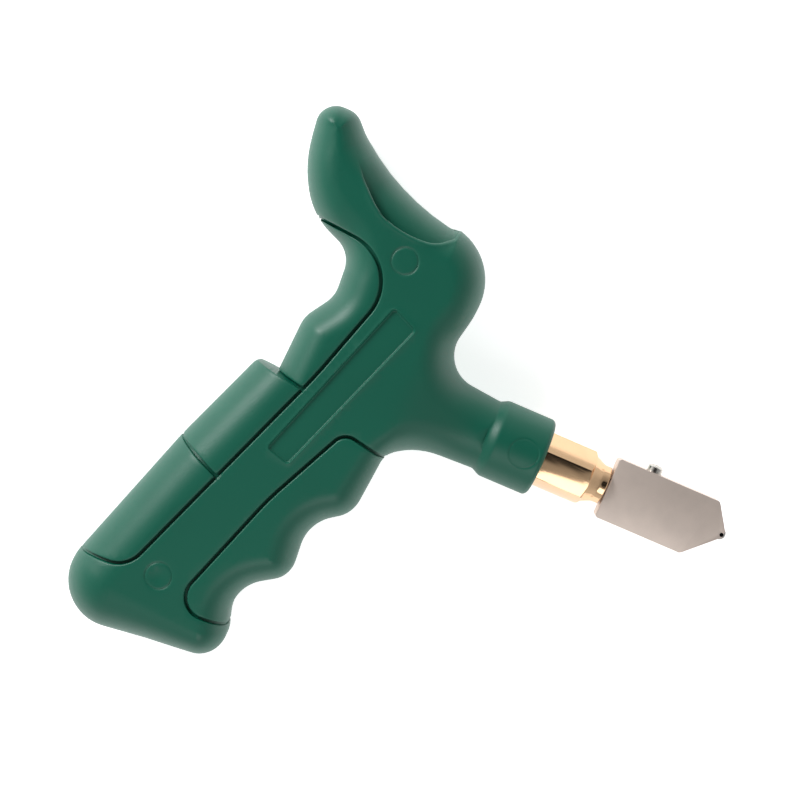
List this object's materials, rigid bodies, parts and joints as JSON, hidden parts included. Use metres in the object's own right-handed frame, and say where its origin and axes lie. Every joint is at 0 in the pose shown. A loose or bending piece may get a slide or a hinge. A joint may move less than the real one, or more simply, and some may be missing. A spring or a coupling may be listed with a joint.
{
  "type": "glass cutter",
  "caption": "Pistol-grip glass cutter: green moulded handle with thumb horn and finger grooves, brass hex holder and a wide steel swivelling head with a small cutting wheel",
  "frame": {"origin": "centre of the cutter's footprint on the surface that its left side lies on", "axes": "+X along the shank toward the cutting wheel, +Y toward the thumb horn, +Z out of the right side of the handle"},
  "size_m": [0.1482, 0.1434, 0.0275],
  "materials": {
    "green_plastic": "fine satin moulding texture",
    "brass": "turned and bright",
    "satin_steel": "satin ground, slightly warm",
    "nickel_steel": "bright nickel",
    "zinc_steel": "zinc plated",
    "dark_steel": "blackened",
    "carbide": "ground hard metal"
  },
  "bodies": {
    "handle": {"right_shell": "green_plastic", "left_shell": "green_plastic", "upper_back_insert": "green_plastic", "middle_back_insert": "green_plastic", "lower_back_insert": "green_plastic", "finger_insert": "green_plastic", "grip_screws": "zinc_steel", "collar_screw": "zinc_steel", "brass_holder": "brass", "swivel_spindle": "satin_steel"},
    "head": {"head_body": "satin_steel", "wheel_axle": "dark_steel"},
    "lock_screw": {"lock_screw": "nickel_steel"},
    "wheel": {"cutting_wheel": "carbide"}
  },
  "joints": [
    {"name": "head_swivel", "type": "hinge", "parent": "handle", "child": "head", "pos_m": [0.04861, 0.01033, 0.01375], "axis": [1, 0, 0], "range_deg": [-12, 12]},
    {"name": "lock_screw_turn", "type": "hinge", "parent": "head", "child": "lock_screw", "pos_m": [0.05111, 0.01833, 0.01375], "axis": [0, 1, 0], "range_deg": [0, 180]},
    {"name": "wheel_spin", "type": "hinge", "parent": "head", "child": "wheel", "pos_m": [0.07246, 0.01073, 0.01375], "axis": [0, 0, 1], "continuous": true}
  ]
}
